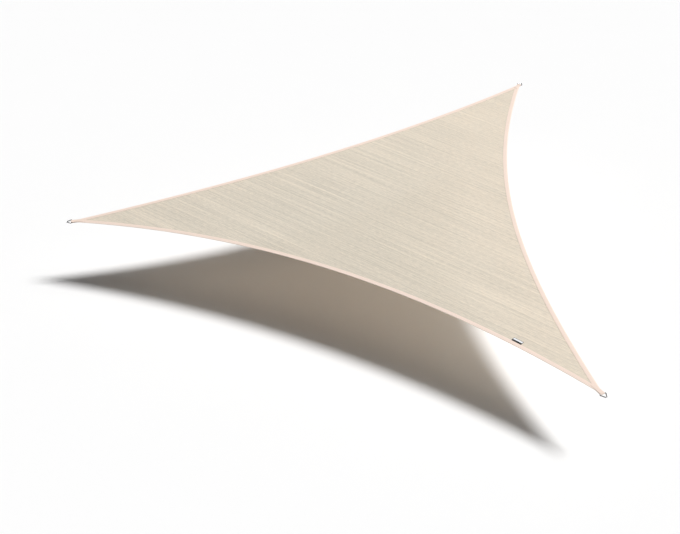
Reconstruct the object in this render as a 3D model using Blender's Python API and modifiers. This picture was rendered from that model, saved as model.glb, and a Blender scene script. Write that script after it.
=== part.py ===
"""Triangular shade sail, modelled as it hangs: one taut sheet cut hollow on its three sides, a folded
tape band on each side, and at each corner a webbing loop round a steel wire ring. Metres, +Z up, +X
along the front side.

Every sewn piece is first laid out flat on the cutting pattern, where X runs along the front side, Y runs
in from it and Z is the height above the middle of the cloth. hang() then carries it to the tilted,
slightly lifted shape of the hung sail.
"""

import math

import bmesh
import bpy
from mathutils import Matrix, Vector

# The sail as cut and hung
SIDE = 5.0  # straight distance between two corners
HOLLOW = 0.370  # how far each side is cut in at its middle
RIGHT_DROP = 0.088  # how far the right corner hangs below the left one
BACK_RISE = 0.406  # how far the back corner hangs above the left one

# Each side runs from corner to corner, anticlockwise. fullness (negative is flatter towards the ends)
# adjusts the hollow between its middle and its ends, and lift is how far the cloth bows up along it.
SIDES = {
    "front": {"start": "left", "end": "right", "fullness": -0.006, "lift": 0.042},
    "right": {"start": "right", "end": "back", "fullness": -0.044, "lift": 0.031},
    "left": {"start": "back", "end": "left", "fullness": -0.011, "lift": 0.124},
}

# Cloth and edge band
CLOTH_THICK = 0.0012
CLOTH_CELLS = 40  # cells along each side of the cloth's mesh; the cell at each corner is cut off
CLOTH_INSET = 0.0035  # from the band's folded edge in to the cloth's own edge
GAP = 0.0003  # between pieces that are sewn face to face
BAND_THICK = 0.0012
BAND_WIDTH = 0.038
BAND_STATIONS = 44
BAND_END = 0.062  # the bands stop this far short of the corner point, between the webbing loop's legs

# Corner loop of webbing
LOOP_WIDTH = 0.036
LOOP_THICK = 0.0016
LOOP_LENGTH = 0.110  # of each leg, from the ring's bar back over the bands
LOOP_TAPER = 0.020  # the stretch over which the legs open out to go round the bar
LOOP_ARC_STEPS = 10

# Wire ring, a triangle with rounded corners, its bar in the loop and its point outwards
RING_WIRE = 0.008
RING_SIDE = 0.058  # between the corners where its straight centre lines would meet
RING_BEND = 0.006  # radius of its bends, to the centre line
RING_BEND_STEPS = 6
BAR_BACK = 0.025  # from the corner point of the outline back to the bar's centre line

# Sewn label, measured along and in from the front side
LABEL_PLACE = 0.843  # its middle, as a share of the front side from the left corner
LABEL_LENGTH = 0.085
LABEL_WIDTH = 0.038
LABEL_THICK = 0.0010
LABEL_INSET = BAND_WIDTH + 0.0015

HALF_CLOTH = CLOTH_THICK / 2
BAND_LEG = HALF_CLOTH + GAP + BAND_THICK / 2  # height of a band leg's middle
LOOP_LEG = BAND_LEG + BAND_THICK / 2 + GAP + LOOP_THICK / 2
LOOP_RADIUS = RING_WIRE / 2 + GAP + LOOP_THICK / 2
RING_HEIGHT = RING_SIDE * math.sqrt(3) / 2 - RING_BEND  # bar to point, on the centre line

FINISHES = {
    "cloth": {"color": (0.72, 0.65, 0.54), "roughness": 0.9, "metallic": 0.0},
    "band": {"color": (0.90, 0.79, 0.69), "roughness": 0.8, "metallic": 0.0},
    "webbing": {"color": (0.90, 0.80, 0.70), "roughness": 0.75, "metallic": 0.0},
    "steel": {"color": (0.45, 0.46, 0.48), "roughness": 0.25, "metallic": 1.0},
    "label": {"color": (0.85, 0.86, 0.88), "roughness": 0.6, "metallic": 0.0},
}

# ------------------------------------------------------------------ the flat pattern

PATTERN = {
    "left": Vector((0.0, 0.0)),
    "right": Vector((SIDE, 0.0)),
    "back": Vector((SIDE / 2, SIDE * math.sqrt(3) / 2)),
}


def turned_left(v):
    return Vector((-v.y, v.x))


def side_point(side, t, inset=0.0):
    """Point of a side's outline at the share t of its length, moved in by inset square to the curve."""
    row = SIDES[side]
    start, end = PATTERN[row["start"]], PATTERN[row["end"]]
    along = end - start
    inward = turned_left(along.normalized())
    swell = 4 * t * (1 - t)
    depth = swell * (HOLLOW + row["fullness"] * (1 - swell))
    slope = 4 * (1 - 2 * t) * (HOLLOW + row["fullness"] * (1 - 2 * swell))
    tangent = (along + slope * inward).normalized()
    return start + t * along + depth * inward + inset * turned_left(tangent)


def corner_axes(corner):
    """Unit vectors out of a corner and across it, which halve the angle between its two sides."""
    step = 0.001
    tip = PATTERN[corner]
    arms = []
    for side, row in SIDES.items():
        if corner in (row["start"], row["end"]):
            t = step if corner == row["start"] else 1 - step
            arms.append((side_point(side, t) - tip).normalized())
    out = -(arms[0] + arms[1]).normalized()
    return out, turned_left(out)


def corner_point(corner, u, v, z=0.0):
    """Pattern point u out from a corner, v across it and z above the cloth's middle."""
    out, across = corner_axes(corner)
    flat = PATTERN[corner] + u * out + v * across
    return Vector((flat.x, flat.y, z))


def shares(x, y):
    """How much each corner weighs at a pattern point: 1 at the corner, 0 on the line of the other two."""
    back = y / PATTERN["back"].y
    right = x / SIDE - back / 2
    return {"left": 1 - right - back, "right": right, "back": back}


# ------------------------------------------------------------------ the hung shape


def hung_corners():
    right = Vector((math.sqrt(SIDE**2 - RIGHT_DROP**2), 0.0, -RIGHT_DROP))
    back_x = (SIDE**2 / 2 + BACK_RISE * RIGHT_DROP) / right.x
    back_y = math.sqrt(SIDE**2 - back_x**2 - BACK_RISE**2)
    return right, Vector((back_x, back_y, BACK_RISE))


RIGHT_CORNER, BACK_CORNER = hung_corners()
PLANE_X = RIGHT_CORNER.normalized()
PLANE_Z = RIGHT_CORNER.cross(BACK_CORNER).normalized()
PLANE_Y = PLANE_Z.cross(PLANE_X)


def cloth_middle(x, y):
    share = shares(x, y)
    lift = sum(4 * row["lift"] * share[row["start"]] * share[row["end"]] for row in SIDES.values())
    return x * PLANE_X + y * PLANE_Y + lift * PLANE_Z


def cloth_normal(x, y):
    step = 0.002
    along_x = cloth_middle(x + step, y) - cloth_middle(x - step, y)
    along_y = cloth_middle(x, y + step) - cloth_middle(x, y - step)
    return along_x.cross(along_y).normalized()


def lifted(point):
    return cloth_middle(point.x, point.y) + point.z * cloth_normal(point.x, point.y)


def ring_frame(corner):
    """Frame of a ring: its centre on the bar, X along the bar, Y out of the corner, Z off the cloth."""
    step = 0.002
    seat = lifted(corner_point(corner, -BAR_BACK, 0.0))
    ahead = lifted(corner_point(corner, step - BAR_BACK, 0.0))
    y_axis = (ahead - seat).normalized()
    z_axis = (lifted(corner_point(corner, -BAR_BACK, 0.0, step)) - seat).normalized()
    axes = Matrix((y_axis.cross(z_axis), y_axis, z_axis)).transposed()
    return Matrix.Translation(seat) @ axes.to_4x4()


# The origin is where a fixing bears in the left ring: inside its point.
BEARING = Vector((0.0, RING_HEIGHT - RING_WIRE / 2, 0.0))
ORIGIN = ring_frame("left") @ BEARING


def hang(point):
    return lifted(point) - ORIGIN


def ring_matrix(corner):
    return Matrix.Translation(-ORIGIN) @ ring_frame(corner)


# ------------------------------------------------------------------ objects


def clear_scene():
    for obj in list(bpy.data.objects):
        bpy.data.objects.remove(obj, do_unlink=True)


def finish(name):
    material = bpy.data.materials.new(name)
    material.use_nodes = True
    shader = material.node_tree.nodes["Principled BSDF"]
    row = FINISHES[name]
    shader.inputs["Base Color"].default_value = (*row["color"], 1.0)
    shader.inputs["Roughness"].default_value = row["roughness"]
    shader.inputs["Metallic"].default_value = row["metallic"]
    material.diffuse_color = (*row["color"], 1.0)
    return material


def add_object(name, data, collection, material):
    obj = bpy.data.objects.new(name, data)
    data.materials.append(material)
    collection.objects.link(obj)
    return obj


def thicken(obj, thickness):
    modifier = obj.modifiers.new("Thickness", "SOLIDIFY")
    modifier.thickness = thickness
    modifier.offset = 0.0
    modifier.use_even_offset = True


def strip_mesh(name, along, across, place):
    """Sheet of along by across cells. place(i, j) is the pattern point of grid point i along, j across."""
    bm = bmesh.new()
    bmesh.ops.create_grid(bm, x_segments=along, y_segments=across, size=0.5)
    for vert in bm.verts:
        i = round((vert.co.x + 0.5) * along)
        j = round((vert.co.y + 0.5) * across)
        vert.co = hang(place(i, j))
    bmesh.ops.recalc_face_normals(bm, faces=bm.faces)
    mesh = bpy.data.meshes.new(name)
    bm.to_mesh(mesh)
    bm.free()
    return mesh


def cloth_mesh():
    """One triangle in even cells, moved to the pattern's hollow outline, without its three tips."""
    bm = bmesh.new()
    bmesh.ops.create_circle(bm, segments=3, radius=1.0, cap_ends=True)
    corners = [vert.co.copy() for vert in bm.verts]
    edges = list(bm.edges)
    bmesh.ops.subdivide_edges(bm, edges=edges, cuts=CLOTH_CELLS - 1, use_grid_fill=True)
    height = 1.5  # of a triangle whose corners lie on a circle of radius 1
    tips = []
    for vert in bm.verts:
        share = {}
        for name, corner in zip(PATTERN, corners):
            share[name] = 1 - (corner - vert.co).dot(corner) / height
        if max(share.values()) > 1 - 0.5 / CLOTH_CELLS:
            tips.append(vert)
            continue
        flat = sum((share[name] * PATTERN[name] for name in PATTERN), Vector((0.0, 0.0)))
        for side, row in SIDES.items():
            start, end = share[row["start"]], share[row["end"]]
            if start + end > 1 - 0.5 / CLOTH_CELLS:
                flat = side_point(side, end, CLOTH_INSET)
                break
            along = PATTERN[row["end"]] - PATTERN[row["start"]]
            swell = 4 * start * end
            flat += swell * (HOLLOW + row["fullness"] * (1 - swell)) * turned_left(along.normalized())
        vert.co = hang(Vector((flat.x, flat.y, 0.0)))
    bmesh.ops.delete(bm, geom=tips, context="VERTS")
    bmesh.ops.recalc_face_normals(bm, faces=bm.faces)
    mesh = bpy.data.meshes.new("sail_cloth")
    bm.to_mesh(mesh)
    bm.free()
    return mesh


def band_end(side, corner, inset):
    """Share of the side where the line at this inset stops: at the mitre, or short of the corner point."""
    out, across = corner_axes(corner)
    at_start = corner == SIDES[side]["start"]
    own = math.copysign(1.0, (side_point(side, 0.5) - PATTERN[corner]).dot(across))
    near, far = 0.0, 0.2
    for _ in range(40):
        middle = (near + far) / 2
        offset = side_point(side, middle if at_start else 1 - middle, inset) - PATTERN[corner]
        if offset.dot(out) < -BAND_END and own * offset.dot(across) > GAP / 2 + GAP:
            far = middle
        else:
            near = middle
    return far if at_start else 1 - far


def band_mesh(side):
    """Tape folded over the cloth's edge, from mitre to mitre. Its profile goes in over the top and back
    underneath."""
    row = SIDES[side]
    fold = BAND_THICK / 2
    shoulder = BAND_END / 4  # about where the mitre meets the band's cut end
    profile = [(BAND_WIDTH, 1), (shoulder, 1), (fold + BAND_LEG, 1), (fold, 0)]
    profile += [(inset, -level) for inset, level in reversed(profile[:-1])]
    ends = [(band_end(side, row["start"], inset), band_end(side, row["end"], inset)) for inset, _ in profile]

    def place(i, j):
        inset, level = profile[j]
        first, last = ends[j]
        flat = side_point(side, first + (last - first) * i / BAND_STATIONS, inset)
        return Vector((flat.x, flat.y, level * BAND_LEG))

    return strip_mesh("edge_band_" + side, BAND_STATIONS, len(profile) - 1, place)


def loop_mesh(corner):
    """Webbing laid over the bands, round the ring's bar and back under them."""
    lean = math.asin((LOOP_RADIUS - LOOP_LEG) / LOOP_TAPER)
    leg = [(-LOOP_LENGTH, LOOP_LEG), (-(LOOP_LENGTH + LOOP_TAPER) / 2, LOOP_LEG), (-LOOP_TAPER, LOOP_LEG)]
    path = list(leg)
    half_turn = math.pi / 2 + lean
    for k in range(LOOP_ARC_STEPS + 1):
        angle = half_turn * (1 - 2 * k / LOOP_ARC_STEPS)
        path.append((LOOP_RADIUS * math.cos(angle), LOOP_RADIUS * math.sin(angle)))
    path += [(u, -z) for u, z in reversed(leg)]

    def place(i, j):
        u, z = path[i]
        return corner_point(corner, u - BAR_BACK, (j - 0.5) * LOOP_WIDTH, z)

    return strip_mesh("corner_loop_" + corner, len(path) - 1, 1, place)


def ring_curve(name):
    """Closed wire in the XY plane: the bar on the X axis, the point at +Y."""
    half = RING_SIDE / 2
    tips = [Vector((half, 0.0)), Vector((0.0, half * math.sqrt(3))), Vector((-half, 0.0))]
    middle = sum(tips, Vector((0.0, 0.0))) / 3
    points = []
    for tip in tips:
        towards = (middle - tip).normalized()
        centre = tip + towards * RING_BEND / math.sin(math.pi / 6)
        facing = math.atan2(-towards.y, -towards.x)
        for k in range(RING_BEND_STEPS + 1):
            angle = facing + math.radians(120) * (k / RING_BEND_STEPS - 0.5)
            points.append(centre + RING_BEND * Vector((math.cos(angle), math.sin(angle))))
    curve = bpy.data.curves.new(name, "CURVE")
    curve.dimensions = "3D"
    curve.bevel_depth = RING_WIRE / 2
    curve.bevel_resolution = 3
    spline = curve.splines.new("POLY")
    spline.points.add(len(points) - 1)
    for target, point in zip(spline.points, points):
        target.co = (point.x, point.y, 0.0, 1.0)
    spline.use_cyclic_u = True
    return curve


def label_mesh():
    """Thin plate on top of the cloth, square to the front side."""
    bm = bmesh.new()
    bmesh.ops.create_cube(bm, size=1.0)
    base = HALF_CLOTH + GAP
    for vert in bm.verts:
        t = LABEL_PLACE + vert.co.x * LABEL_LENGTH / SIDE
        flat = side_point("front", t, LABEL_INSET + (vert.co.y + 0.5) * LABEL_WIDTH)
        vert.co = hang(Vector((flat.x, flat.y, base + (vert.co.z + 0.5) * LABEL_THICK)))
    mesh = bpy.data.meshes.new("label")
    bm.to_mesh(mesh)
    bm.free()
    return mesh


def build():
    clear_scene()
    collection = bpy.data.collections.new("shade_sail")
    bpy.context.scene.collection.children.link(collection)
    materials = {name: finish(name) for name in FINISHES}

    cloth = add_object("sail_cloth", cloth_mesh(), collection, materials["cloth"])
    thicken(cloth, CLOTH_THICK)
    for side in SIDES:
        band = add_object("edge_band_" + side, band_mesh(side), collection, materials["band"])
        thicken(band, BAND_THICK)
    for corner in PATTERN:
        loop = add_object("corner_loop_" + corner, loop_mesh(corner), collection, materials["webbing"])
        thicken(loop, LOOP_THICK)
        seat = bpy.data.objects.new("seat_" + corner, None)
        seat.empty_display_size = RING_SIDE
        seat.matrix_world = ring_matrix(corner)
        collection.objects.link(seat)
        ring = add_object("ring_" + corner, ring_curve("ring_" + corner), collection, materials["steel"])
        ring.parent = seat
    add_object("label", label_mesh(), collection, materials["label"])


build()
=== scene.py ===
"""Triangular shade sail: knitted cloth, folded edge tape, corner webbing, wire rings, label and stitching.

Every sewn piece is laid out on the flat cutting pattern (X along the front side, Y in from it), and is then
carried to the tilted, slightly lifted shape in which the sail hangs. Metres throughout.
"""

import math

import bpy
import numpy as np
from bpy.props import FloatProperty, FloatVectorProperty, IntProperty, PointerProperty
from bpy.types import Operator, Panel, PropertyGroup
from mathutils import Matrix, Vector


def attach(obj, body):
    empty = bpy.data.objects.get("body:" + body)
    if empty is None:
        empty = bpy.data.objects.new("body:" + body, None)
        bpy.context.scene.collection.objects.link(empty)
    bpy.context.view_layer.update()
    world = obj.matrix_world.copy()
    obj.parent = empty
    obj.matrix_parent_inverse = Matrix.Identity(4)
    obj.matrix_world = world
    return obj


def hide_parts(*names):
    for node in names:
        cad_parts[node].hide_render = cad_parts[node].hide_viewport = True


bl_info = {
    "name": "Shade Sail",
    "version": (1, 0, 0),
    "blender": (4, 5, 0),
    "location": "3D View > Sidebar > Shade Sail",
    "description": "Builds the cloth, bands, webbing, rings, label and stitching of a triangular shade sail",
    "category": "Object",
}

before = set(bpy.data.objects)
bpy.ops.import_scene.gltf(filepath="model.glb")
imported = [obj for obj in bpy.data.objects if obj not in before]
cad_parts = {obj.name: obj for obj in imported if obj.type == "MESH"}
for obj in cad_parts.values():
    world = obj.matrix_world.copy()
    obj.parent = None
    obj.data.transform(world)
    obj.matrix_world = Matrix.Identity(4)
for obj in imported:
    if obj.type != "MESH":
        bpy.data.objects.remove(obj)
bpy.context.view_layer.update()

CORNERS = ("left", "right", "back")
# Each side runs from corner to corner, anticlockwise. fullness (negative is flatter towards the ends)
# adjusts the hollow between its middle and its ends, and lift is how far the cloth bows up along it.
SIDES = {
    "front": {"start": "left", "end": "right", "fullness": -0.006, "lift": 0.042},
    "right": {"start": "right", "end": "back", "fullness": -0.044, "lift": 0.031},
    "left": {"start": "back", "end": "left", "fullness": -0.011, "lift": 0.124},
}
CUT_TIP = 1 / 40  # the cloth stops this share of a side short of each corner
GAP = 0.0003  # between pieces that are sewn face to face
STEP = 0.002  # between two points that give a slope of the hung cloth
UV_MAP = "metres"  # distances along and across each sheet

# How finely the pieces are meshed
BAND_STATIONS = 132
BAND_FOLD_STEPS = 6
LOOP_LEG_STEPS = 8
LOOP_ARC_STEPS = 16
LOOP_COLUMNS = 12
RING_BEND_STEPS = 14
RING_SIDES = 20
LABEL_CELLS = (34, 16)  # along and across
STITCH_SIDES = 6
STITCH_SECTIONS = ((-0.5, 0.0), (-0.34, 0.85), (0.0, 1.0), (0.34, 0.85), (0.5, 0.0))  # place, fullness
SEAM_POINTS = 60  # along a side, through which a row of its stitching runs
SEAM_REFINING = 20  # finer points for each of those, to space the stitches evenly
SHARP = math.radians(45)  # a steeper edge than this stays sharp

# Length along the rows and width across them in metres, and weight, of each size of streak
STREAKS = ((2.4, 0.020, 0.30), (1.1, 0.0095, 0.42), (0.35, 0.0060, 0.20), (0.045, 0.0090, 0.38))
NOISE_SPREAD = 4.0  # brings Blender's noise, less its middle, to about -1 to 1

# The photograph's viewpoint, in the frame of the part
IMAGE_WIDTH = 680
FOCAL_PIXELS = 1143.8
SENSOR = 36.0
CAMERA_PLACE = (6.7745, -6.6256, 4.6482)
CAMERA_AHEAD = (-0.51014, 0.86009)  # level direction of view
CAMERA_PITCH = math.radians(29.194)
CAMERA_ROLL = -0.00107
CAMERA_REACH = 1000.0
LIGHT_FROM = (0.4596, 0.4051, 1.0)
LAMP_AWAY = 8.0  # only places the lamps' marks, as a distant lamp lights alike from anywhere
FLOOR_HALF = 400.0


# -------------------- settings


def length(name, description, default):
    return FloatProperty(name=name, description=description, default=default, unit="LENGTH", precision=4)


def colour(name, description, default):
    return FloatVectorProperty(
        name=name, description=description, default=default, subtype="COLOR", size=3, min=0.0, max=1.0
    )


def angle(name, description, degrees):
    return FloatProperty(name=name, description=description, default=math.radians(degrees), subtype="ANGLE")


def share(name, description, default):
    return FloatProperty(
        name=name, description=description, default=default, subtype="FACTOR", min=0.0, max=1.0
    )


class ShapeSettings(PropertyGroup):
    side: length("Side", "Straight distance between two corners", 5.0)
    hollow: length("Hollow", "How far each side is cut in at its middle", 0.370)
    right_drop: length("Right drop", "How far the right corner hangs below the left one", 0.088)
    back_rise: length("Back rise", "How far the back corner hangs above the left one", 0.406)


class ClothSettings(PropertyGroup):
    thick: length("Thickness", "Thickness of the cloth", 0.0012)
    inset: length("Inset", "From the band's folded edge in to the cloth's own edge", 0.0035)
    cells: IntProperty(name="Cells", description="Cells along each side of the cloth", default=120, min=40)
    pitch: length("Knit pitch", "Distance between two rows of the knit", 0.0042)
    grain: angle("Grain", "Direction of the knit's rows from the front side", -9.4)
    streak: share("Streaks", "Strength of the long streaks in the knit", 0.22)
    solid: share("Cover", "How much of what lies behind each face hides", 0.82)
    glow: share("Glow", "Share of the light that passes through a face and spreads", 0.15)
    tint: colour("Colour", "Colour of the yarn", (0.801, 0.784, 0.686))
    deep: colour("Deep colour", "Colour of the light that has passed through the yarn", (0.99, 0.57, 0.28))


class BandSettings(PropertyGroup):
    thick: length("Thickness", "Thickness of the folded tape", 0.0012)
    width: length("Width", "Width of the band on each face", 0.038)
    end: length("End", "How far short of the corner point the bands stop", 0.062)
    rib: length("Rib", "Distance between two ribs of the tape", 0.0016)
    tint: colour("Colour", "Colour of the tape", (0.91, 0.745, 0.645))
    # painted light: a paler colour on the tape's fold that offsets the shade on the fold's outer side
    faded: colour("Faded colour", "Paler colour painted on the tape's fold, as light that offsets its shade", (1.0, 0.84, 0.74))
    fade: length("Faded strip", "How far the fading reaches to each side of the fold", 0.009)


class LoopSettings(PropertyGroup):
    thick: length("Thickness", "Thickness of the webbing", 0.0016)
    width: length("Width", "Width of the webbing", 0.036)
    reach: length("Reach", "Length of each leg from the ring's bar back over the bands", 0.110)
    taper: length("Taper", "Stretch over which the legs open out to go round the bar", 0.020)
    rib: length("Rib", "Distance between two ribs of the webbing", 0.0024)
    tint: colour("Colour", "Colour of the webbing", (0.91, 0.745, 0.645))


class RingSettings(PropertyGroup):
    wire: length("Wire", "Diameter of the wire", 0.008)
    side: length("Side", "Side of the triangle that the wire's centre lines follow", 0.058)
    bend: length("Bend", "Radius of the bends, to the wire's centre line", 0.006)
    bar_back: length("Bar back", "From the outline's corner point back to the bar's centre line", 0.025)
    tint: colour("Colour", "Colour of the steel", (0.46, 0.465, 0.48))


class LabelSettings(PropertyGroup):
    place: share("Place", "Its middle, as a share of the front side from the left corner", 0.843)
    long: length("Length", "Length of the label", 0.085)
    wide: length("Width", "Width of the label", 0.038)
    thick: length("Thickness", "Thickness of the label", 0.0010)
    clear: length("Clear", "From the band's inner edge to the label", 0.0015)
    stripe: share("Stripe", "Share of the width that the dark stripe takes", 0.46)
    line: length("Line", "Width of the dark line along the top and the two ends", 0.0030)
    tint: colour("Colour", "Colour of the label", (0.86, 0.88, 0.92))
    dark: colour("Dark", "Colour of the stripe", (0.012, 0.012, 0.014))


class ThreadSettings(PropertyGroup):
    thick: length("Thickness", "Thickness of the sewing thread", 0.0009)
    stitch: length("Stitch", "Length of thread that shows in each stitch", 0.0054)
    pitch: length("Pitch", "Distance from one stitch to the next", 0.0066)
    outer: length("Outer row", "From the folded edge in to the outer row", 0.006)
    inner: length("Inner row", "From the folded edge in to the inner row", 0.033)
    tint: colour("Colour", "Colour of the thread", (0.95, 0.85, 0.76))


class StageSettings(PropertyGroup):
    floor: length("Floor", "Height of the floor below the left ring", -0.5635)
    floor_tint: colour("Floor colour", "Colour of the floor", (0.915, 0.915, 0.915))
    sun: FloatProperty(name="Lamp", description="Strength of the lamp", default=3.80, min=0.0)
    core: share("Core", "Share of the lamp's light that comes from its bright middle", 0.89)
    core_size: angle("Core size", "How wide the lamp's bright middle looks from the floor", 15.5)
    rim_size: angle("Rim size", "How wide the whole lamp looks from the floor", 38.0)
    sky: FloatProperty(name="Sky", description="Strength of the light from all round", default=0.052, min=0.0)


class SailSettings(PropertyGroup):
    shape: PointerProperty(type=ShapeSettings)
    cloth: PointerProperty(type=ClothSettings)
    band: PointerProperty(type=BandSettings)
    loop: PointerProperty(type=LoopSettings)
    ring: PointerProperty(type=RingSettings)
    label: PointerProperty(type=LabelSettings)
    thread: PointerProperty(type=ThreadSettings)
    stage: PointerProperty(type=StageSettings)


# -------------------- the pattern and how it hangs


def unit(v):
    return v / np.linalg.norm(v, axis=-1, keepdims=True)


def turned_left(v):
    return np.stack((-v[..., 1], v[..., 0]), axis=-1)


class HungSail:
    """The flat pattern, and the tilted, slightly lifted shape in which it hangs."""

    def __init__(self, settings):
        shape, ring = settings.shape, settings.ring
        self.side = shape.side
        self.hollow = shape.hollow
        self.tall = shape.side * math.sqrt(3) / 2
        self.corners = {
            "left": np.array((0.0, 0.0)),
            "right": np.array((self.side, 0.0)),
            "back": np.array((self.side / 2, self.tall)),
        }
        right = np.array((math.sqrt(self.side**2 - shape.right_drop**2), 0.0, -shape.right_drop))
        back_x = (self.side**2 / 2 + shape.back_rise * shape.right_drop) / right[0]
        back_y = math.sqrt(self.side**2 - back_x**2 - shape.back_rise**2)
        back = np.array((back_x, back_y, shape.back_rise))
        self.plane_x = unit(right)
        self.plane_z = unit(np.cross(right, back))
        self.plane_y = np.cross(self.plane_z, self.plane_x)
        self.bar_back = ring.bar_back
        self.origin = np.zeros(3)  # the plane's own, until the left ring's bearing point is known
        ring_height = ring.side * math.sqrt(3) / 2 - ring.bend
        bearing = Vector((0.0, ring_height - ring.wire / 2, 0.0))
        self.origin = np.array(self.ring_matrix("left") @ bearing)

    def shares(self, flat):
        """How much each corner weighs at pattern points: 1 at the corner, 0 on the line of the other two."""
        back = flat[..., 1] / self.tall
        right = flat[..., 0] / self.side - back / 2
        return {"left": 1 - right - back, "right": right, "back": back}

    def middle(self, flat):
        """Middle of the cloth's thickness at pattern points, before the frame's origin is taken off."""
        part = self.shares(flat)
        lift = sum(4 * row["lift"] * part[row["start"]] * part[row["end"]] for row in SIDES.values())
        across = flat[..., 0:1] * self.plane_x + flat[..., 1:2] * self.plane_y
        return across + lift[..., None] * self.plane_z

    def normal(self, flat):
        """Unit vector off the cloth's upper face."""
        along_x = self.middle(flat + (STEP, 0.0)) - self.middle(flat - (STEP, 0.0))
        along_y = self.middle(flat + (0.0, STEP)) - self.middle(flat - (0.0, STEP))
        return unit(np.cross(along_x, along_y))

    def hang(self, flat, height=0.0):
        """Where pattern points hang, at a height above the middle of the cloth."""
        height = np.asarray(height, dtype=float)
        return self.middle(flat) + height[..., None] * self.normal(flat) - self.origin

    def inward(self, side):
        """Unit vector in the pattern, square to a side and into the sail."""
        row = SIDES[side]
        return turned_left(unit(self.corners[row["end"]] - self.corners[row["start"]]))

    def side_point(self, side, t, inset=0.0):
        """Points of a side's outline at shares t of its length, moved in by inset square to the curve."""
        t = np.asarray(t, dtype=float)[..., None]
        inset = np.asarray(inset, dtype=float)[..., None]
        row = SIDES[side]
        start = self.corners[row["start"]]
        along = self.corners[row["end"]] - start
        swell = 4 * t * (1 - t)
        depth = swell * (self.hollow + row["fullness"] * (1 - swell))
        slope = 4 * (1 - 2 * t) * (self.hollow + row["fullness"] * (1 - 2 * swell))
        tangent = unit(along + slope * self.inward(side))
        return start + t * along + depth * self.inward(side) + inset * turned_left(tangent)

    def corner_axes(self, corner):
        """Unit vectors out of a corner and across it, which halve the angle between its two sides."""
        near = 0.001
        arms = []
        for side, row in SIDES.items():
            if corner in (row["start"], row["end"]):
                t = near if corner == row["start"] else 1 - near
                arms.append(unit(self.side_point(side, t) - self.corners[corner]))
        out = -unit(arms[0] + arms[1])
        return out, turned_left(out)

    def corner_point(self, corner, u, v):
        """Pattern points u out from a corner and v across it."""
        out, across = self.corner_axes(corner)
        u = np.asarray(u, dtype=float)[..., None]
        v = np.asarray(v, dtype=float)[..., None]
        return self.corners[corner] + u * out + v * across

    def ring_matrix(self, corner):
        """Frame of a ring: its centre on the bar, X along the bar, Y out of the corner, Z off the cloth."""
        flat = self.corner_point(corner, -self.bar_back, 0.0)
        seat = self.hang(flat)
        out = unit(self.hang(self.corner_point(corner, STEP - self.bar_back, 0.0)) - seat)
        up = unit(self.hang(flat, STEP) - seat)
        axes = np.stack((np.cross(out, up), out, up), axis=1)
        return Matrix.Translation(Vector(seat)) @ Matrix(axes.tolist()).to_4x4()

    def side_stop(self, side, corner, inset, short, clear):
        """Share of a side where the line at this inset stops, short of the corner and clear of its middle."""
        out, across = self.corner_axes(corner)
        at_start = corner == SIDES[side]["start"]
        tip = self.corners[corner]
        own = math.copysign(1.0, (self.side_point(side, 0.5) - tip) @ across)
        near, far = 0.0, 0.2
        halvings = 40
        for _ in range(halvings):
            guess = (near + far) / 2
            offset = self.side_point(side, guess if at_start else 1 - guess, inset) - tip
            if offset @ out < -short and own * (offset @ across) > clear:
                far = guess
            else:
                near = guess
        return far if at_start else 1 - far

    def side_stops(self, side, inset, short, clear):
        """Shares of a side at which the line at this inset starts and ends."""
        corners = (SIDES[side]["start"], SIDES[side]["end"])
        return [self.side_stop(side, corner, inset, short, clear) for corner in corners]


# -------------------- mesh making


def new_mesh(name, points, faces, uv=None):
    """Mesh from arrays of points and faces. uv is one pair of metres for each point."""
    mesh = bpy.data.meshes.new(name)
    mesh.from_pydata(points.tolist(), [], [tuple(face) for face in faces])
    if uv is not None:
        corners = np.zeros(len(mesh.loops), dtype=np.int32)
        mesh.loops.foreach_get("vertex_index", corners)
        layer = mesh.uv_layers.new(name=UV_MAP)
        layer.data.foreach_set("uv", np.asarray(uv, dtype=np.float32)[corners].ravel())
    mesh.validate()
    mesh.update()
    return mesh


def new_object(name, data):
    made = bpy.data.objects.new(name, data)
    bpy.context.scene.collection.objects.link(made)
    return made


def new_piece(name, mesh, material):
    mesh.materials.append(material)
    return new_object(name, mesh)


def sheet_mesh(name, points, uv):
    """Sheet from a grid of points, rows by columns."""
    rows, columns = points.shape[:2]
    index = np.arange(rows * columns).reshape(rows, columns)
    faces = np.stack((index[:-1, :-1], index[1:, :-1], index[1:, 1:], index[:-1, 1:]), axis=-1)
    return new_mesh(name, points.reshape(-1, 3), faces.reshape(-1, 4), uv.reshape(-1, 2))


def thicken(piece, thick):
    """Gives a sheet its thickness, half to each side, and keeps it as the mesh itself."""
    modifier = piece.modifiers.new("Thickness", "SOLIDIFY")
    modifier.thickness = thick
    modifier.offset = 0.0
    modifier.use_even_offset = True
    graph = bpy.context.evaluated_depsgraph_get()
    mesh = bpy.data.meshes.new_from_object(piece.evaluated_get(graph))
    thin = piece.data
    piece.modifiers.clear()
    piece.data = mesh
    mesh.name = piece.name
    bpy.data.meshes.remove(thin)
    mesh.shade_smooth()
    mesh.set_sharp_from_angle(angle=SHARP)


def distance_along(row):
    """Distance along a row of points from the first to each of them."""
    return np.concatenate(([0.0], np.cumsum(np.linalg.norm(np.diff(row, axis=0), axis=1))))


def triangle_faces(count, index):
    """Faces of a triangle of even cells, but for those with a corner that the index leaves out."""
    faces = []
    for i in range(count):
        for j in range(count - i):
            faces.append(((i, j), (i + 1, j), (i, j + 1)))
            if i + j < count - 1:
                faces.append(((i + 1, j), (i + 1, j + 1), (i, j + 1)))
    return [[index[key] for key in face] for face in faces if all(key in index for key in face)]


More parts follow.
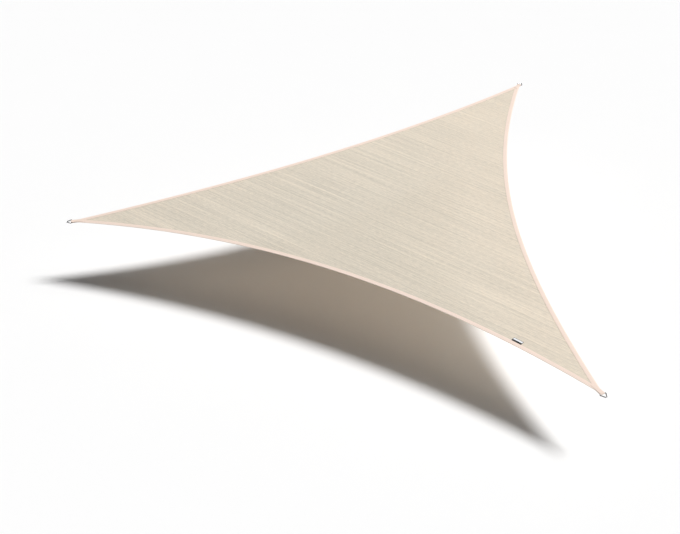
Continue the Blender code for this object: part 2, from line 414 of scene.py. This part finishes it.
def cloth_mesh(sail, cloth):
    """Triangle of even cells, moved to the pattern's hollow outline, without its three tips."""
    count = cloth.cells
    slack = 0.1 / count
    index = {}
    weights = []
    for i in range(count + 1):
        for j in range(count + 1 - i):
            weight = (1 - (i + j) / count, i / count, j / count)
            if max(weight) < 1 - CUT_TIP + slack:
                index[i, j] = len(weights)
                weights.append(weight)
    weights = np.array(weights)
    part = dict(zip(CORNERS, weights.T))
    flat = sum(part[name][:, None] * sail.corners[name] for name in CORNERS)
    edge_points = {}
    for side, row in SIDES.items():
        start, end = part[row["start"]], part[row["end"]]
        swell = (4 * start * end)[:, None]
        flat = flat + swell * (sail.hollow + row["fullness"] * (1 - swell)) * sail.inward(side)
        on_edge = start + end > 1 - slack
        edge_points[side] = (on_edge, sail.side_point(side, end[on_edge], cloth.inset))
    for on_edge, points in edge_points.values():
        flat[on_edge] = points
    return new_mesh("sail_cloth", sail.hang(flat), triangle_faces(count, index), flat)


def band_profile(band, level):
    """Insets and heights of the folded tape's middle: in over the top, round the fold and back underneath."""
    fold = band.thick / 2
    insets = (band.width, 0.7 * band.width, 0.25 * band.end)  # the cut edge, and two rows towards the fold
    top = [(inset, level) for inset in insets]
    arc = []
    for k in range(BAND_FOLD_STEPS + 1):
        turn = math.pi / 2 * (1 - 2 * k / BAND_FOLD_STEPS)
        arc.append((fold + level * (1 - math.cos(turn)), level * math.sin(turn)))
    return np.array(top + arc + [(inset, -z) for inset, z in reversed(top)])


def band_mesh(sail, band, level, side):
    """One side's folded tape. Each line of it stops on its own side of the line that halves the corner."""
    profile = band_profile(band, level)
    clear = 1.5 * GAP  # from a band to the line where it meets the next one
    first, last = np.array([sail.side_stops(side, inset, band.end, clear) for inset, _ in profile]).T
    t = np.linspace(first, last, BAND_STATIONS + 1)
    points = sail.hang(sail.side_point(side, t, profile[:, 0]), np.broadcast_to(profile[:, 1], t.shape))
    uv = np.stack(np.broadcast_arrays(t * sail.side, distance_along(profile)), axis=-1)
    return sheet_mesh("edge_band_" + side, points, uv)


def loop_path(loop, level, radius):
    """Distances out from the bar and heights of the webbing's middle, from one cut end to the other."""
    rise = radius - level
    taper_left, rise_made = 0.66, 0.30  # at the point where the leg has begun to open out
    level_part = np.linspace(-loop.reach, -loop.taper, LOOP_LEG_STEPS + 1)
    leg = [(u, level) for u in level_part] + [(-loop.taper * taper_left, level + rise * rise_made)]
    half_turn = math.pi / 2 + math.asin(rise / loop.taper)
    arc = []
    for k in range(LOOP_ARC_STEPS + 1):
        turn = half_turn * (1 - 2 * k / LOOP_ARC_STEPS)
        arc.append((radius * math.cos(turn), radius * math.sin(turn)))
    return np.array(leg + arc + [(u, -z) for u, z in reversed(leg)])


def loop_mesh(sail, loop, path, corner):
    """Webbing over the bands, round the ring's bar and back under them."""
    across = np.linspace(-loop.width / 2, loop.width / 2, LOOP_COLUMNS + 1)
    u, v = np.meshgrid(path[:, 0] - sail.bar_back, across, indexing="ij")
    height = np.broadcast_to(path[:, 1:2], u.shape)
    uv = np.stack(np.broadcast_arrays(distance_along(path)[:, None], across + loop.width / 2), axis=-1)
    return sheet_mesh("corner_loop_" + corner, sail.hang(sail.corner_point(corner, u, v), height), uv)


def ring_mesh(name, ring, matrix):
    """Wire bent to a triangle with rounded corners, its bar on the X axis and its point at +Y."""
    half = ring.side / 2
    tips = [Vector((half, 0.0)), Vector((0.0, half * math.sqrt(3))), Vector((-half, 0.0))]
    middle = sum(tips, Vector((0.0, 0.0))) / 3
    half_corner, bend_turn = math.radians(30), math.radians(120)
    centres, normals = [], []
    for tip in tips:
        towards = (middle - tip).normalized()
        centre = tip + towards * ring.bend / math.sin(half_corner)
        facing = math.atan2(-towards.y, -towards.x)
        for k in range(RING_BEND_STEPS + 1):
            turn = facing + bend_turn * (k / RING_BEND_STEPS - 0.5)
            away = Vector((math.cos(turn), math.sin(turn)))
            centres.append(centre + ring.bend * away)
            normals.append(away)
    radius = ring.wire / 2
    points = []
    for centre, away in zip(centres, normals):
        for k in range(RING_SIDES):
            turn = 2 * math.pi * k / RING_SIDES
            reach = radius * math.cos(turn)
            spot = Vector((centre.x + away.x * reach, centre.y + away.y * reach, radius * math.sin(turn)))
            points.append(tuple(matrix @ spot))
    count = len(centres)
    faces = []
    for i in range(count):
        a, b = i * RING_SIDES, (i + 1) % count * RING_SIDES
        for k in range(RING_SIDES):
            following = (k + 1) % RING_SIDES
            faces.append((a + k, b + k, b + following, a + following))
    return new_mesh(name, np.array(points), faces)


def path_at(wanted, run, path):
    """Points of a flat path where its run reaches the wanted values."""
    return np.stack([np.interp(wanted, run, path[:, k]) for k in range(2)], axis=-1)


def stitch_row(sail, flat_path, height, thread):
    """Middles, directions and normals of stitches sewn along a flat path, at a height off the cloth."""
    fine = np.linspace(0, 1, SEAM_REFINING * len(flat_path))
    flat = path_at(fine, np.linspace(0, 1, len(flat_path)), flat_path)
    run = distance_along(flat)
    count = int(run[-1] / thread.pitch)
    stations = (np.arange(count) + 0.5) * run[-1] / count
    ends = []
    for shift in (-0.5, 0.5):
        spots = path_at(stations + shift * thread.stitch, run, flat)
        ends.append(sail.hang(spots, np.full(count, height)))
    normals = sail.normal(path_at(stations, run, flat)) * math.copysign(1.0, height)
    return (ends[0] + ends[1]) / 2, unit(ends[1] - ends[0]), normals


def stitch_faces(count):
    """Faces of one stitch of so many points: a fan at each end, and bands between its rounds."""
    last = count - 1
    first_round = 1
    last_round = last - STITCH_SIDES
    faces = []
    for k in range(STITCH_SIDES):
        following = (k + 1) % STITCH_SIDES
        faces.append((0, first_round + following, first_round + k))
        for start in range(first_round, last_round, STITCH_SIDES):
            end = start + STITCH_SIDES
            faces.append((start + k, start + following, end + following, end + k))
        faces.append((last, last_round + k, last_round + following))
    return faces


def stitch_mesh(name, rows, thread):
    """Every stitch of the given rows, each a short rounded length of thread that dips in at its ends."""
    middle, along, normal = (np.concatenate(values) for values in zip(*rows))
    across = np.cross(normal, along)
    half = thread.thick / 2
    dip = 0.8
    points = []
    for place, fullness in STITCH_SECTIONS:
        centre = middle + along * place * thread.stitch - normal * half * dip * (1 - fullness)
        if fullness == 0.0:
            points.append(centre)
            continue
        for k in range(STITCH_SIDES):
            turn = 2 * math.pi * k / STITCH_SIDES
            points.append(centre + half * fullness * (math.cos(turn) * across + math.sin(turn) * normal))
    points = np.stack(points, axis=1)
    each = points.shape[1]
    shape = stitch_faces(each)
    bases = range(0, len(middle) * each, each)
    faces = [[base + corner for corner in face] for base in bases for face in shape]
    mesh = new_mesh(name, points.reshape(-1, 3), faces)
    mesh.shade_smooth()
    return mesh


# -------------------- node helpers


def connect(tree, value, socket):
    """Feeds a socket from another socket, or with a constant number or colour."""
    if isinstance(value, bpy.types.NodeSocket):
        tree.links.new(value, socket)
    elif isinstance(value, (int, float)):
        socket.default_value = value
    else:
        socket.default_value = (*value, 1.0)


def math_node(tree, operation, first, second=None, clamp=False):
    node = tree.nodes.new("ShaderNodeMath")
    node.operation = operation
    node.use_clamp = clamp
    connect(tree, first, node.inputs[0])
    if second is not None:
        connect(tree, second, node.inputs[1])
    return node.outputs[0]


def scaled(tree, value, factor, offset):
    """A value times a factor, plus an offset."""
    return math_node(tree, "ADD", math_node(tree, "MULTIPLY", value, factor), offset)


def mixed_colour(tree, blend, factor, first, second):
    node = tree.nodes.new("ShaderNodeMix")
    node.data_type = "RGBA"
    node.blend_type = blend
    connect(tree, factor, node.inputs["Factor"])
    connect(tree, first, node.inputs[6])
    connect(tree, second, node.inputs[7])
    return node.outputs[2]


def shaded(tree, tint, shade):
    """A colour made lighter or darker by a shade of about 1."""
    return mixed_colour(tree, "MULTIPLY", 1.0, tint, shade)


def mixed_surface(tree, factor, first, second):
    """Mixes two shaders and makes the result the material's surface."""
    node = tree.nodes.new("ShaderNodeMixShader")
    connect(tree, factor, node.inputs["Fac"])
    tree.links.new(first, node.inputs[1])
    tree.links.new(second, node.inputs[2])
    tree.links.new(node.outputs[0], tree.nodes["Material Output"].inputs["Surface"])


def uv_metres(tree):
    node = tree.nodes.new("ShaderNodeUVMap")
    node.uv_map = UV_MAP
    return node.outputs["UV"]


def object_place(tree):
    return tree.nodes.new("ShaderNodeTexCoord").outputs["Object"]


def split_xy(tree, vector):
    """The first two numbers of a vector."""
    split = tree.nodes.new("ShaderNodeSeparateXYZ")
    tree.links.new(vector, split.inputs[0])
    return split.outputs[0], split.outputs[1]


def turned_uv(tree, direction):
    """Distances along and across a direction on the sheet."""
    turn = tree.nodes.new("ShaderNodeVectorRotate")
    turn.rotation_type = "Z_AXIS"
    tree.links.new(uv_metres(tree), turn.inputs["Vector"])
    tree.links.new(math_node(tree, "MULTIPLY", direction, -1.0), turn.inputs["Angle"])
    return split_xy(tree, turn.outputs[0])


def joined(tree, x, y):
    node = tree.nodes.new("ShaderNodeCombineXYZ")
    tree.links.new(x, node.inputs[0])
    tree.links.new(y, node.inputs[1])
    return node.outputs[0]


def noise(tree, vector, scale, detail, roughness=0.5):
    node = tree.nodes.new("ShaderNodeTexNoise")
    node.inputs["Scale"].default_value = scale
    node.inputs["Detail"].default_value = detail
    node.inputs["Roughness"].default_value = roughness
    tree.links.new(vector, node.inputs["Vector"])
    return node.outputs["Fac"]


def unevenness(tree, vector, detail):
    """Noise of about -1 to 1."""
    value = math_node(tree, "SUBTRACT", noise(tree, vector, 1.0, detail), 0.5)
    return math_node(tree, "MULTIPLY", value, NOISE_SPREAD)


def wave(tree, distance, pitch):
    """0 to 1 and back once in each pitch of a distance."""
    turns = math_node(tree, "DIVIDE", distance, pitch)
    return scaled(tree, math_node(tree, "SINE", math_node(tree, "MULTIPLY", turns, 2 * math.pi)), 0.5, 0.5)


def bump(tree, shader, height, distance, strength):
    node = tree.nodes.new("ShaderNodeBump")
    node.inputs["Distance"].default_value = distance
    node.inputs["Strength"].default_value = strength
    tree.links.new(height, node.inputs["Height"])
    tree.links.new(node.outputs[0], shader.inputs["Normal"])
    return node.outputs[0]


# -------------------- effects that several finishes share


def new_group(name, inputs, output):
    """Shader node group with float inputs and one float output, and the sockets of both inside it."""
    group = bpy.data.node_groups.new(name, "ShaderNodeTree")
    for label, default in inputs.items():
        socket = group.interface.new_socket(name=label, in_out="INPUT", socket_type="NodeSocketFloat")
        socket.default_value = default
    group.interface.new_socket(name=output, in_out="OUTPUT", socket_type="NodeSocketFloat")
    given = group.nodes.new("NodeGroupInput").outputs
    return group, given, group.nodes.new("NodeGroupOutput").inputs[output]


def streak_group():
    """Long, thin changes of shade along the knit's rows, where the yarn's tension varies."""
    group, given, result = new_group("Yarn streaks", {"Angle": 0.0, "Strength": 0.05}, "Shade")
    along, across = turned_uv(group, given["Angle"])
    total = 0.0
    for run, thin, weight in STREAKS:
        lengthwise = math_node(group, "DIVIDE", along, run)
        crosswise = math_node(group, "DIVIDE", across, thin)
        value = unevenness(group, joined(group, lengthwise, crosswise), detail=1.0)
        total = scaled(group, value, weight, total)
    group.links.new(scaled(group, total, given["Strength"], 1.0), result)
    return group


def knit_group():
    """Upright chains with slanting laid-in yarns between them. The height is 0 in the small holes."""
    group, given, result = new_group("Knit", {"Angle": 0.0, "Pitch": 0.004}, "Height")
    stitch_pitch, laid_pitch = 0.62, 0.9  # as shares of the pitch
    stitch_foot, laid_slant, laid_height = 0.4, 0.8, 0.75
    along, across = turned_uv(group, given["Angle"])
    chain = wave(group, across, given["Pitch"])
    stitch = wave(group, along, math_node(group, "MULTIPLY", given["Pitch"], stitch_pitch))
    slant = scaled(group, across, laid_slant, along)
    laid = wave(group, slant, math_node(group, "MULTIPLY", given["Pitch"], laid_pitch))
    loops = math_node(group, "MULTIPLY", chain, math_node(group, "ADD", stitch, stitch_foot))
    height = math_node(group, "MAXIMUM", loops, math_node(group, "MULTIPLY", laid, laid_height))
    group.links.new(height, result)
    return group


def rib_group():
    """Ribs of a narrow woven tape, slanting one way and the other in columns, as in plain webbing."""
    group, given, result = new_group("Woven ribs", {"Pitch": 0.002, "Column": 0.009}, "Height")
    rib_slant, end_pitch = 0.7, 0.55
    rib_weight, end_weight = 0.7, 0.3
    along, across = split_xy(group, uv_metres(group))
    fold = math_node(group, "PINGPONG", across, given["Column"])
    ribs = wave(group, scaled(group, fold, rib_slant, along), given["Pitch"])
    ends = wave(group, across, math_node(group, "MULTIPLY", given["Pitch"], end_pitch))
    group.links.new(scaled(group, ribs, rib_weight, math_node(group, "MULTIPLY", ends, end_weight)), result)
    return group


def mottle_group():
    """Slow, faint changes of shade from sun and handling."""
    group, given, result = new_group("Mottle", {"Size": 0.1, "Strength": 0.03}, "Shade")
    spread = group.nodes.new("ShaderNodeVectorMath")
    spread.operation = "SCALE"
    group.links.new(object_place(group), spread.inputs[0])
    group.links.new(math_node(group, "DIVIDE", 1.0, given["Size"]), spread.inputs["Scale"])
    value = unevenness(group, spread.outputs[0], detail=3.0)
    group.links.new(scaled(group, value, given["Strength"], 1.0), result)
    return group


def use_group(tree, maker, **values):
    """Places a node group, built the first time it is asked for, with these inputs, and gives its output."""
    group = next((g for g in bpy.data.node_groups if g.get("maker") == maker.__name__), None)
    if group is None:
        group = maker()
        group["maker"] = maker.__name__
    node = tree.nodes.new("ShaderNodeGroup")
    node.node_tree = group
    for label, value in values.items():
        node.inputs[label].default_value = value
    return node.outputs[0]


# -------------------- finishes


def new_material(name, **finish):
    """Material, its tree and its shader. finish gives the shader's sockets, with _ for a space."""
    material = bpy.data.materials.new(name)
    material.use_nodes = True
    shader = material.node_tree.nodes["Principled BSDF"]
    for label, value in finish.items():
        shader.inputs[label.replace("_", " ")].default_value = value
    return material, material.node_tree, shader


def cloth_material(cloth):
    """Matt knitted cloth, faintly streaked along its rows, that lets a little light and sight through."""
    material, tree, shader = new_material(
        "knitted_cloth", Roughness=0.85, Specular_IOR_Level=0.25, Alpha=cloth.solid
    )
    knit = use_group(tree, knit_group, Angle=cloth.grain, Pitch=cloth.pitch)
    streaks = use_group(tree, streak_group, Angle=cloth.grain, Strength=cloth.streak)
    mottle = use_group(tree, mottle_group, Size=0.9, Strength=0.006)
    # painted shade: the colour is darker where the knit is low, in its small holes and between its yarns
    knit_painted_shade = scaled(tree, knit, factor=0.16, offset=0.90)
    shade = math_node(tree, "MULTIPLY", math_node(tree, "MULTIPLY", streaks, mottle), knit_painted_shade)
    tree.links.new(shaded(tree, cloth.tint, shade), shader.inputs["Base Color"])
    normal = bump(tree, shader, knit, distance=0.0004, strength=0.5)
    through = tree.nodes.new("ShaderNodeBsdfTranslucent")
    tree.links.new(shaded(tree, cloth.deep, shade), through.inputs["Color"])
    tree.links.new(normal, through.inputs["Normal"])
    mixed_surface(tree, cloth.glow, shader.outputs[0], through.outputs[0])
    return material


def faded(tree, tint, paler, fold, reach):
    """A colour that turns paler towards a fold, whose middle lies this far across the tape: painted light
    that offsets the shade on the fold.
    """
    _, across = split_xy(tree, uv_metres(tree))
    away = math_node(tree, "ABSOLUTE", math_node(tree, "SUBTRACT", across, fold))
    near = math_node(tree, "SUBTRACT", 1.0, math_node(tree, "DIVIDE", away, reach), clamp=True)
    return mixed_colour(tree, "MIX", near, tint, paler)


def tape_material(name, tint, rib, depth, lightening=None):
    """Close-woven tape or webbing with slanting ribs and a soft sheen, darker in the grooves between its ribs
    as painted shade, and paler on its fold as painted light that offsets the fold's shade.
    """
    material, tree, shader = new_material(name, Roughness=0.7, Specular_IOR_Level=0.3, Sheen_Weight=0.15)
    ribs = use_group(tree, rib_group, Pitch=rib, Column=rib * 6)
    mottle = use_group(tree, mottle_group, Size=0.06, Strength=0.012)
    # painted shade: the colour is darker in the grooves between the ribs, lighter on their tops
    shade = math_node(tree, "MULTIPLY", scaled(tree, ribs, factor=0.10, offset=0.94), mottle)
    tinted = shaded(tree, tint, shade)
    # painted light: the fold turns paler, which offsets the shade on its outer side
    if lightening:
        tinted = faded(tree, tinted, *lightening)
    tree.links.new(tinted, shader.inputs["Base Color"])
    bump(tree, shader, ribs, distance=depth, strength=0.6)
    return material


def thread_material(thread):
    """Twisted polyester thread with a slight lustre."""
    material, tree, shader = new_material("thread", Roughness=0.5)
    twist = noise(tree, object_place(tree), scale=900.0, detail=1.0)
    shade = scaled(tree, twist, factor=0.2, offset=0.9)
    tree.links.new(shaded(tree, thread.tint, shade), shader.inputs["Base Color"])
    bump(tree, shader, twist, distance=0.0002, strength=0.4)
    return material


def steel_material(ring):
    """Polished steel wire with faint drawn lines and a little dulling from handling."""
    material, tree, shader = new_material("polished_steel", Metallic=1.0)
    fine = noise(tree, object_place(tree), scale=700.0, detail=3.0, roughness=0.6)
    slow = use_group(tree, mottle_group, Size=0.012, Strength=0.06)
    tree.links.new(scaled(tree, fine, factor=0.16, offset=0.12), shader.inputs["Roughness"])
    tree.links.new(shaded(tree, ring.tint, slow), shader.inputs["Base Color"])
    bump(tree, shader, fine, distance=0.0001, strength=0.25)
    return material


def label_material(label):
    """Smooth pale label with a dark stripe along its lower edge and a thin dark line round the rest."""
    material, tree, shader = new_material("woven_label", Roughness=0.55)
    along, across = split_xy(tree, uv_metres(tree))
    dark = math_node(tree, "LESS_THAN", across, label.stripe * label.wide)
    for position, operation, limit in (
        (across, "GREATER_THAN", label.wide - label.line),
        (along, "LESS_THAN", label.line),
        (along, "GREATER_THAN", label.long - label.line),
    ):
        dark = math_node(tree, "MAXIMUM", dark, math_node(tree, operation, position, limit))
    tree.links.new(mixed_colour(tree, "MIX", dark, label.tint, label.dark), shader.inputs["Base Color"])
    weave = use_group(tree, rib_group, Pitch=0.0008, Column=0.0008)
    bump(tree, shader, weave, distance=0.0001, strength=0.4)
    return material


def floor_material(tint):
    """Pale matt floor that shows nothing from below, so that the sail's underside can be looked at."""
    material, tree, shader = new_material("studio_floor", Roughness=0.9, Specular_IOR_Level=0.1)
    mottle = use_group(tree, mottle_group, Size=0.8, Strength=0.002)
    tree.links.new(shaded(tree, tint, mottle), shader.inputs["Base Color"])
    below = tree.nodes.new("ShaderNodeNewGeometry").outputs["Backfacing"]
    nothing = tree.nodes.new("ShaderNodeBsdfTransparent").outputs[0]
    mixed_surface(tree, below, shader.outputs[0], nothing)
    return material


def kept_material(maker, *values):
    """Makes a material once and gives the same one afterwards."""
    key = " ".join([maker.__name__, *(v for v in values if isinstance(v, str))])
    material = next((m for m in bpy.data.materials if m.get("key") == key), None)
    if material is None:
        material = maker(*values)
        material["key"] = key
    return material


# -------------------- operators


def band_level(settings):
    """Height of the middle of a band's leg above the middle of the cloth."""
    return settings.cloth.thick / 2 + GAP + settings.band.thick / 2


def loop_level(settings):
    return band_level(settings) + settings.band.thick / 2 + GAP + settings.loop.thick / 2


def dressed(piece, slot, *nodes):
    """Rides on the part's one body and stands for the given nodes, which it hides. slot is not used."""
    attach(piece, "root")
    if nodes:
        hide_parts(*nodes)


def place_lamps(stage):
    """Two distant lamps in one direction: a bright middle, and a faint rim round it."""
    for name, size, part in (
        ("lamp_core", stage.core_size, stage.core),
        ("lamp_rim", stage.rim_size, 1 - stage.core),
    ):
        lamp = bpy.data.lights.new(name, "SUN")
        lamp.energy = stage.sun * part
        lamp.angle = size
        mark = new_object(name, lamp)
        mark.rotation_euler = Vector(LIGHT_FROM).to_track_quat("Z", "Y").to_euler()
        mark.location = Vector(LIGHT_FROM) * LAMP_AWAY


def light_all_round(stage):
    """Even white light from every side."""
    world = bpy.data.worlds.new("studio")
    world.use_nodes = True
    sky = world.node_tree.nodes["Background"]
    sky.inputs["Color"].default_value = (1.0, 1.0, 1.0, 1.0)
    sky.inputs["Strength"].default_value = stage.sky
    bpy.context.scene.world = world


def place_camera():
    """The photograph's viewpoint."""
    camera = bpy.data.cameras.new("camera")
    camera.sensor_width = SENSOR
    camera.lens = FOCAL_PIXELS / IMAGE_WIDTH * SENSOR
    camera.clip_end = CAMERA_REACH
    eye = new_object("camera", camera)
    level = Vector((*CAMERA_AHEAD, 0.0)).normalized()
    ahead = level * math.cos(CAMERA_PITCH) - Vector((0.0, 0.0, math.sin(CAMERA_PITCH)))
    turn = ahead.to_track_quat("-Z", "Y").to_matrix() @ Matrix.Rotation(CAMERA_ROLL, 3, "Z")
    eye.matrix_world = Matrix.Translation(CAMERA_PLACE) @ turn.to_4x4()
    bpy.context.scene.camera = eye


class BuildStep:
    """What the operators share: each builds its piece from the sizes and the sail that they make."""

    def execute(self, context):
        settings = context.scene.shade_sail
        self.build(settings, HungSail(settings))
        return {"FINISHED"}


class SAIL_OT_cloth(BuildStep, Operator):
    """Knitted sheet, cut hollow on its three sides and drawn taut"""

    bl_idname = "shade_sail.cloth"
    bl_label = "Cloth"

    def build(self, settings, sail):
        cloth = settings.cloth
        piece = new_piece("cloth", cloth_mesh(sail, cloth), kept_material(cloth_material, cloth))
        thicken(piece, cloth.thick)
        dressed(piece, "cloth", "sail_cloth")


class SAIL_OT_bands(BuildStep, Operator):
    """Tape folded over the cloth's three edges"""

    bl_idname = "shade_sail.bands"
    bl_label = "Edge bands"

    def build(self, settings, sail):
        band, level = settings.band, band_level(settings)
        rib_depth = 0.0003
        fold = distance_along(band_profile(band, level))[-1] / 2
        # the fold's paler colour is painted light, set against the shade on the fold's outer side
        lightening = (band.faded, fold, band.fade)
        material = kept_material(tape_material, "edge_tape", band.tint, band.rib, rib_depth, lightening)
        for side in SIDES:
            piece = new_piece("band_" + side, band_mesh(sail, band, level, side), material)
            thicken(piece, band.thick)
            dressed(piece, "band", "edge_band_" + side)


class SAIL_OT_band_stitching(BuildStep, Operator):
    """Two rows of stitching along each band, on both faces"""

    bl_idname = "shade_sail.band_stitching"
    bl_label = "Band stitching"

    def build(self, settings, sail):
        thread = settings.thread
        top = band_level(settings) + settings.band.thick / 2
        short = settings.ring.bar_back + settings.loop.reach + thread.pitch
        material = kept_material(thread_material, thread)
        for side in SIDES:
            rows = []
            for inset in (thread.outer, thread.inner):
                first, last = sail.side_stops(side, inset, short, thread.pitch / 2)
                path = sail.side_point(side, np.linspace(first, last, SEAM_POINTS), inset)
                rows += [stitch_row(sail, path, face * top, thread) for face in (1, -1)]
            name = "stitching_" + side
            dressed(new_piece(name, stitch_mesh(name, rows, thread), material), "band")


class SAIL_OT_corner_loops(BuildStep, Operator):
    """Webbing strap folded round the ring at each corner"""

    bl_idname = "shade_sail.corner_loops"
    bl_label = "Corner loops"

    def build(self, settings, sail):
        loop = settings.loop
        radius = settings.ring.wire / 2 + GAP + loop.thick / 2
        path = loop_path(loop, loop_level(settings), radius)
        rib_depth = 0.0005
        material = kept_material(tape_material, "corner_webbing", loop.tint, loop.rib, rib_depth)
        for corner in CORNERS:
            piece = new_piece("loop_" + corner, loop_mesh(sail, loop, path, corner), material)
            thicken(piece, loop.thick)
            dressed(piece, "webbing", "corner_loop_" + corner)


class SAIL_OT_corner_stitching(BuildStep, Operator):
    """Box of stitching with a cross in it, which holds each strap to the bands"""

    bl_idname = "shade_sail.corner_stitching"
    bl_label = "Corner stitching"

    def build(self, settings, sail):
        thread, loop = settings.thread, settings.loop
        top = loop_level(settings) + loop.thick / 2
        from_cut_end, from_band_end, from_edge = 0.005, 0.008, 0.004
        far = -(settings.ring.bar_back + loop.reach - from_cut_end)
        near = -(settings.band.end + from_band_end)
        wide = loop.width / 2 - from_edge
        box = [(far, -wide), (near, -wide), (near, wide), (far, wide), (far, -wide)]
        lines = list(zip(box, box[1:])) + [(box[0], box[2]), (box[1], box[3])]
        material = kept_material(thread_material, thread)
        for corner in CORNERS:
            rows = []
            for ends in lines:
                u, v = np.array(ends).T
                path = sail.corner_point(corner, u, v)
                rows += [stitch_row(sail, path, face * top, thread) for face in (1, -1)]
            name = "corner_stitching_" + corner
            dressed(new_piece(name, stitch_mesh(name, rows, thread), material), "webbing")


class SAIL_OT_rings(BuildStep, Operator):
    """Steel wire ring at each corner"""

    bl_idname = "shade_sail.rings"
    bl_label = "Rings"

    def build(self, settings, sail):
        material = kept_material(steel_material, settings.ring)
        for corner in CORNERS:
            name = "wire_ring_" + corner
            mesh = ring_mesh(name, settings.ring, sail.ring_matrix(corner))
            mesh.shade_smooth()
            dressed(new_piece(name, mesh, material), "steel", "ring_" + corner)


class SAIL_OT_label(BuildStep, Operator):
    """Small sewn label beside the front band"""

    bl_idname = "shade_sail.label"
    bl_label = "Label"

    def build(self, settings, sail):
        label = settings.label
        swell = 0.0004
        x = np.linspace(0, label.long, LABEL_CELLS[0] + 1)
        y = np.linspace(0, label.wide, LABEL_CELLS[1] + 1)
        along, across = np.meshgrid(x, y, indexing="ij")
        t = label.place + (along - label.long / 2) / sail.side
        inset = settings.band.width + label.clear + across
        height = settings.cloth.thick / 2 + GAP + label.thick / 2
        puff = swell * np.sin(math.pi * along / label.long) * np.sin(math.pi * across / label.wide)
        points = sail.hang(sail.side_point("front", t, inset), height + puff)
        mesh = sheet_mesh("woven_label", points, np.stack((along, across), axis=-1))
        piece = new_piece("woven_label", mesh, kept_material(label_material, label))
        thicken(piece, label.thick)
        dressed(piece, "label", "label")


class SAIL_OT_stage(BuildStep, Operator):
    """Pale floor, soft light and the camera"""

    bl_idname = "shade_sail.stage"
    bl_label = "Stage"

    def build(self, settings, sail):
        stage = settings.stage
        corners = ((-1, -1), (1, -1), (1, 1), (-1, 1))
        points = np.array([(x * FLOOR_HALF, y * FLOOR_HALF, stage.floor) for x, y in corners])
        mesh = new_mesh("floor", points, [(0, 1, 2, 3)])
        floor = new_piece("floor", mesh, kept_material(floor_material, stage.floor_tint))
        place_lamps(stage)
        light_all_round(stage)
        place_camera()
        bpy.context.scene.view_settings.view_transform = "Standard"


class SAIL_OT_declare(BuildStep, Operator):
    """Does nothing: the cloth's flat size and the pieces sewn to it are not stated"""

    bl_idname = "shade_sail.declare"
    bl_label = "State the flat size"

    def build(self, settings, sail):
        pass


class SAIL_PT_panel(Panel):
    """Buttons and sizes of the shade sail"""

    bl_idname = "SAIL_PT_panel"
    bl_label = "Shade Sail"
    bl_space_type = "VIEW_3D"
    bl_region_type = "UI"
    bl_category = "Shade Sail"

    def draw(self, context):
        for operator in OPERATORS:
            self.layout.operator(operator.bl_idname)
        for name in SailSettings.__annotations__:
            box = self.layout.box()
            box.label(text=name.capitalize())
            group = getattr(context.scene.shade_sail, name)
            for prop in group.__annotations__:
                box.prop(group, prop)


OPERATORS = (
    SAIL_OT_cloth,
    SAIL_OT_bands,
    SAIL_OT_band_stitching,
    SAIL_OT_corner_loops,
    SAIL_OT_corner_stitching,
    SAIL_OT_rings,
    SAIL_OT_label,
    SAIL_OT_stage,
    SAIL_OT_declare,
)
GROUPS = (
    ShapeSettings,
    ClothSettings,
    BandSettings,
    LoopSettings,
    RingSettings,
    LabelSettings,
    ThreadSettings,
    StageSettings,
    SailSettings,
)
CLASSES = (*GROUPS, *OPERATORS, SAIL_PT_panel)


def register():
    for cls in CLASSES:
        bpy.utils.register_class(cls)
    bpy.types.Scene.shade_sail = PointerProperty(type=SailSettings)


def unregister():
    del bpy.types.Scene.shade_sail
    for cls in reversed(CLASSES):
        bpy.utils.unregister_class(cls)


def main():
    register()
    for operator in OPERATORS:
        getattr(bpy.ops.shade_sail, operator.bl_idname.split(".")[1])()


if __name__ == "__main__":
    main()
